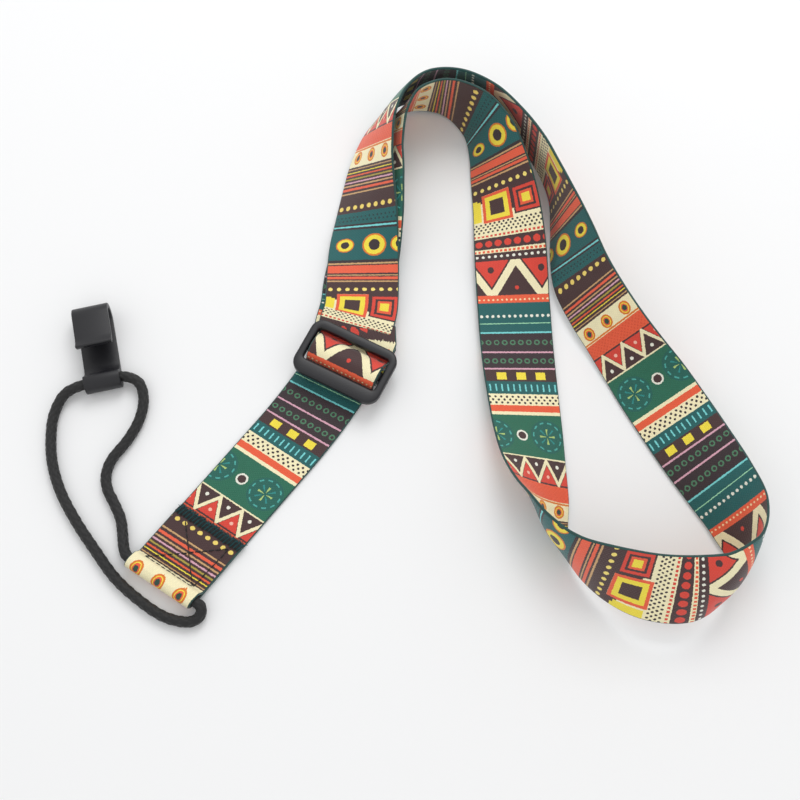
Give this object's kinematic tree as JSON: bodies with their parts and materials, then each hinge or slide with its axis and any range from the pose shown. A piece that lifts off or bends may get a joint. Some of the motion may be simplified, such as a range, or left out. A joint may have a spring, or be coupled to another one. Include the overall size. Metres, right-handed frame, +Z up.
{
  "type": "ukulele neck strap with sound-hole hook",
  "caption": "Printed webbing neck strap with tri-glide slider, braided cord loop and plastic sound-hole hook, laid flat",
  "frame": {"origin": "centre of the bounding box in plan, without the cord, on the table under the strap", "axes": "+Z up from the table, +X to the right along the row of loops, +Y from the cord end towards the top bend"},
  "size_m": [0.2288, 0.1918, 0.0263],
  "materials": {
    "printed_webbing": "woven polyester webbing with a printed banded folk pattern, slight sheen",
    "selvedge_fringe": "frayed teal polyester yarn ends",
    "black_thread": "black polyester sewing thread",
    "black_cord": "round braided black cord",
    "black_plastic": "moulded black plastic, fine satin texture"
  },
  "bodies": {
    "strap": {"webbing_tail": "printed_webbing", "webbing_cord_fold": "printed_webbing", "webbing_flap": "printed_webbing", "flap_fringe": "selvedge_fringe", "box_stitching": "black_thread", "webbing_left_leg_outer": "printed_webbing", "webbing_top_bend_outer": "printed_webbing", "webbing_right_leg_upper": "printed_webbing", "webbing_right_leg_lower": "printed_webbing", "webbing_right_corner": "printed_webbing", "webbing_bottom_run": "printed_webbing", "webbing_left_corner": "printed_webbing", "webbing_inner_leg_lower": "printed_webbing", "webbing_inner_leg_upper": "printed_webbing", "webbing_top_bend_inner": "printed_webbing", "webbing_left_leg_inner": "printed_webbing"},
    "slider": {"slider_frame": "black_plastic", "webbing_over_bar": "printed_webbing", "webbing_bar_loop": "printed_webbing", "bar_loop_stitching": "black_thread"},
    "cord": {"cord_loop": "black_cord"},
    "hook": {"hook_clip": "black_plastic"}
  },
  "joints": [
    {"name": "slider_slide", "type": "slide", "parent": "strap", "child": "slider", "axis": [-0.6293, -0.7771, 0], "range_m": [0, 0.045]},
    {"name": "cord_swing", "type": "hinge", "parent": "strap", "child": "cord", "pos_m": [-0.07566, -0.08138, 0.00295], "axis": [0.8413, -0.5406, 0], "range_deg": [0, 90]},
    {"name": "hook_swing", "type": "hinge", "parent": "cord", "child": "hook", "pos_m": [-0.09971, -0.01507, 0.0035], "axis": [0.9744, 0.225, 0], "range_deg": [0, 120]}
  ]
}
